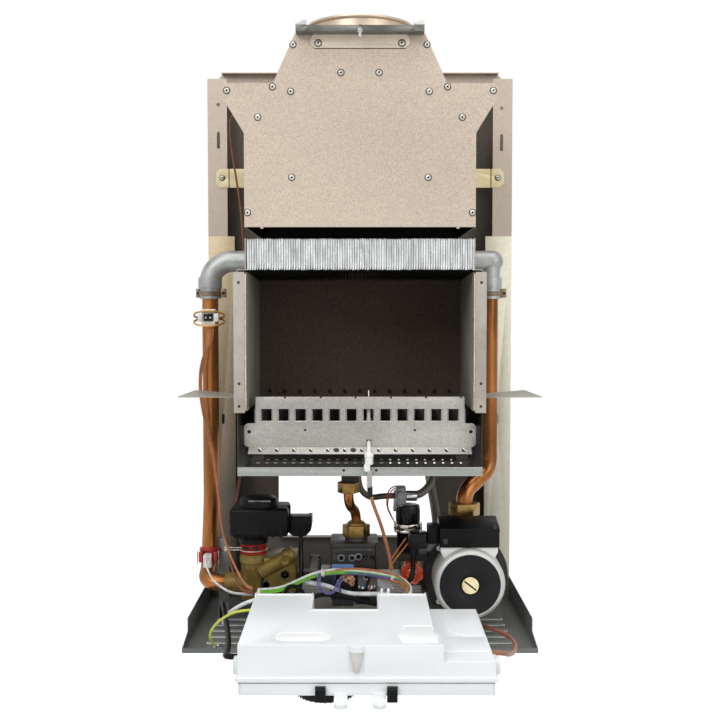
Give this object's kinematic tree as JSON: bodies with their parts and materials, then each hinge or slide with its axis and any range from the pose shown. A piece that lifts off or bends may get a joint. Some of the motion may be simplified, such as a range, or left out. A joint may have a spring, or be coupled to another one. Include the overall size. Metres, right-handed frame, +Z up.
{
  "type": "wall-hung combi boiler",
  "caption": "Wall-hung open-flue combi boiler with its casing off and its control box folded down in front.",
  "frame": {"origin": "wall face on the centre line, level with the underside of the bottom tray", "axes": "+X to the right as seen from the front, +Y into the wall, +Z up"},
  "size_m": [0.456, 0.552, 0.827],
  "materials": {
    "galvanised": "galvanised sheet with fine speckle",
    "tray_paint": "dark grey powder coat",
    "dark_steel": "dark bright steel",
    "chromate": "yellow chromate",
    "zinc": "bright zinc",
    "fin_coating": "silvery coated fins",
    "cast_alloy": "cast, satin",
    "copper": "copper tube with heat patina",
    "brass": "machined and forged brass",
    "fibre_board": "browned fibre insulation board",
    "ceramic_white": "smooth",
    "vessel_paint": "satin paint",
    "black_plastic": "satin black moulding",
    "white_plastic": "white moulding",
    "red_plastic": "red moulding",
    "motor_alloy": "silver paint on cast alloy",
    "cast_body": "dark cast",
    "rotor_steel": "turned",
    "board_green": "printed board",
    "grey_plastic": "grey moulding",
    "lead_cover": "cable sheaths",
    "black_cable": "cable sheaths",
    "hose_braid": "steel braided hoses"
  },
  "bodies": {
    "boiler": {"back_panel": "galvanised", "top_crossbar": "galvanised", "upper_channels": "galvanised", "lower_channels": "galvanised", "lower_rail": "tray_paint", "bottom_tray": "tray_paint", "hood_front": "galvanised", "hood_shell": "galvanised", "flue_spigot": "galvanised", "latch_bracket": "dark_steel", "tab_brackets": "chromate", "sheet_screws": "zinc", "fin_block": "fin_coating", "elbows": "cast_alloy", "flow_pipe": "copper", "return_pipe": "copper", "pipe_clips": "zinc", "pipe_sensors": "white_plastic", "chamber_shell": "galvanised", "insulation_boards": "fibre_board", "air_wings": "galvanised", "burner_front": "galvanised", "burner_blades": "zinc", "burner_frame": "galvanised", "gas_manifold": "zinc", "ignition_electrode": "ceramic_white", "expansion_vessel": "vessel_paint", "gas_pipe": "copper", "pipe_nuts": "brass", "gas_valve_body": "cast_alloy", "gas_valve_coils": "black_plastic", "hydraulic_block": "brass", "valve_ring": "red_plastic", "valve_motor": "black_plastic", "plate_exchanger": "rotor_steel", "pump_housing": "cast_body", "pump_motor": "motor_alloy", "pump_terminal_box": "black_plastic", "air_vent": "black_plastic", "relief_valve": "brass", "hoses": "hose_braid", "connection_tails": "brass", "hinge_brackets": "zinc", "harness": "lead_cover", "box_leads": "black_cable", "root_wiring": "lead_cover"},
    "control_box": {"box_cover": "white_plastic", "box_shell": "white_plastic", "box_clips": "black_plastic", "circuit_board": "board_green"},
    "dial": {"main_dial": "black_plastic"},
    "heating_control": {"heating_knob": "grey_plastic"},
    "water_control": {"water_knob": "grey_plastic"},
    "reset": {"reset_button": "red_plastic"},
    "rotor": {"pump_rotor": "rotor_steel"},
    "vent_plug": {"vent_screw": "brass"},
    "spindle": {"valve_spindle": "rotor_steel"},
    "plunger": {"gas_valve_plunger": "rotor_steel"},
    "handwheel": {"relief_handwheel": "red_plastic"},
    "float": {"vent_float": "grey_plastic"}
  },
  "joints": [
    {"name": "control_box_hinge", "type": "hinge", "parent": "boiler", "child": "control_box", "pos_m": [0, -0.3242, 0.0072], "axis": [-1, 0, 0], "range_deg": [0, 90], "deforming": ["harness", "box_leads"]},
    {"name": "main_dial_turn", "type": "hinge", "parent": "control_box", "child": "dial", "pos_m": [-0.0369, -0.474, 0.018], "axis": [0, 0, -1], "range_deg": [-135, 135]},
    {"name": "heating_knob_turn", "type": "hinge", "parent": "control_box", "child": "heating_control", "pos_m": [0.03, -0.474, 0.02], "axis": [0, 0, -1], "range_deg": [0, 270]},
    {"name": "water_knob_turn", "type": "hinge", "parent": "control_box", "child": "water_control", "pos_m": [0.072, -0.474, 0.02], "axis": [0, 0, -1], "range_deg": [0, 270]},
    {"name": "reset_button_press", "type": "slide", "parent": "control_box", "child": "reset", "axis": [0, 0, 1], "range_m": [0, 0.003], "stiffness_N_per_m": 800},
    {"name": "pump_rotor_spin", "type": "hinge", "parent": "boiler", "child": "rotor", "pos_m": [0.1414, -0.205, 0.0724], "axis": [0, -1, 0], "continuous": true},
    {"name": "vent_screw_turn", "type": "hinge", "parent": "boiler", "child": "vent_plug", "pos_m": [0.1414, -0.259, 0.0724], "axis": [0, -1, 0], "range_deg": [0, 360]},
    {"name": "diverter_travel", "type": "slide", "parent": "boiler", "child": "spindle", "axis": [0, 0, -1], "range_m": [0, 0.008]},
    {"name": "gas_plunger_lift", "type": "slide", "parent": "boiler", "child": "plunger", "axis": [0, -1, 0], "range_m": [0, 0.005], "stiffness_N_per_m": 500},
    {"name": "relief_handwheel_turn", "type": "hinge", "parent": "boiler", "child": "handwheel", "pos_m": [0.0685, -0.218, 0.079], "axis": [0, -1, 0], "range_deg": [0, 90]},
    {"name": "vent_float_rise", "type": "slide", "parent": "boiler", "child": "float", "axis": [0, 0, 1], "range_m": [0, 0.01]}
  ]
}
